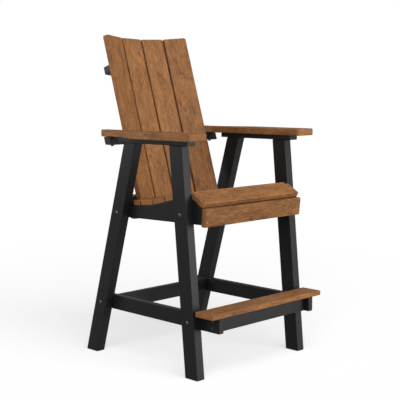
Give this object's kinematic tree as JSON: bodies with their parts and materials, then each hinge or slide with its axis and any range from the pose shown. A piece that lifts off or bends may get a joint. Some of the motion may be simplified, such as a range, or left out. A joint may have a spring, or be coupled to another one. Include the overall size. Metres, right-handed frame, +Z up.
{
  "type": "bar chair",
  "caption": "Tall outdoor bar chair with arms, a curved slatted back, a contoured slatted seat and a footrest, in brown and black plastic lumber.",
  "frame": {"origin": "on the floor, under the middle of the chair's width and depth", "axes": "+Z up, the sitter faces -Y, +X to the right as seen from the front"},
  "size_m": [0.7372, 0.7737, 1.3378],
  "materials": {
    "brown_lumber": "wood-grained plastic lumber, brown with darker flecks",
    "black_lumber": "satin black plastic lumber",
    "bolt_steel": "plain stainless steel"
  },
  "bodies": {
    "root": {"arm_left": "brown_lumber", "arm_right": "brown_lumber", "footrest": "brown_lumber", "seat_slat_1": "brown_lumber", "seat_slat_2": "brown_lumber", "seat_slat_3": "brown_lumber", "seat_slat_4": "brown_lumber", "seat_slat_5": "brown_lumber", "seat_slat_6": "brown_lumber", "seat_apron": "brown_lumber", "back_slat_1": "brown_lumber", "back_slat_2": "brown_lumber", "back_slat_3": "brown_lumber", "back_slat_4": "brown_lumber", "front_leg_left": "black_lumber", "front_leg_right": "black_lumber", "rear_leg_left": "black_lumber", "rear_leg_right": "black_lumber", "arm_cleat_left": "black_lumber", "arm_cleat_right": "black_lumber", "lower_rail_left": "black_lumber", "lower_rail_right": "black_lumber", "front_stretcher": "black_lumber", "rear_stretcher": "black_lumber", "seat_rail_left": "black_lumber", "seat_rail_right": "black_lumber", "seat_rear_rail": "black_lumber", "back_brace_lower": "black_lumber", "back_brace_middle": "black_lumber", "back_brace_upper": "black_lumber", "bolt_front_seat_left": "bolt_steel", "bolt_front_seat_right": "bolt_steel", "bolt_front_lower_left": "bolt_steel", "bolt_front_lower_right": "bolt_steel", "bolt_rear_seat_left": "bolt_steel", "bolt_rear_seat_right": "bolt_steel", "bolt_rear_lower_left": "bolt_steel", "bolt_rear_lower_right": "bolt_steel", "nut_front_seat_left": "bolt_steel", "nut_front_seat_right": "bolt_steel", "nut_front_lower_left": "bolt_steel", "nut_front_lower_right": "bolt_steel", "nut_rear_seat_left": "bolt_steel", "nut_rear_seat_right": "bolt_steel", "nut_rear_lower_left": "bolt_steel", "nut_rear_lower_right": "bolt_steel", "arm_bolt_left": "bolt_steel", "arm_bolt_right": "bolt_steel"}
  },
  "joints": []
}
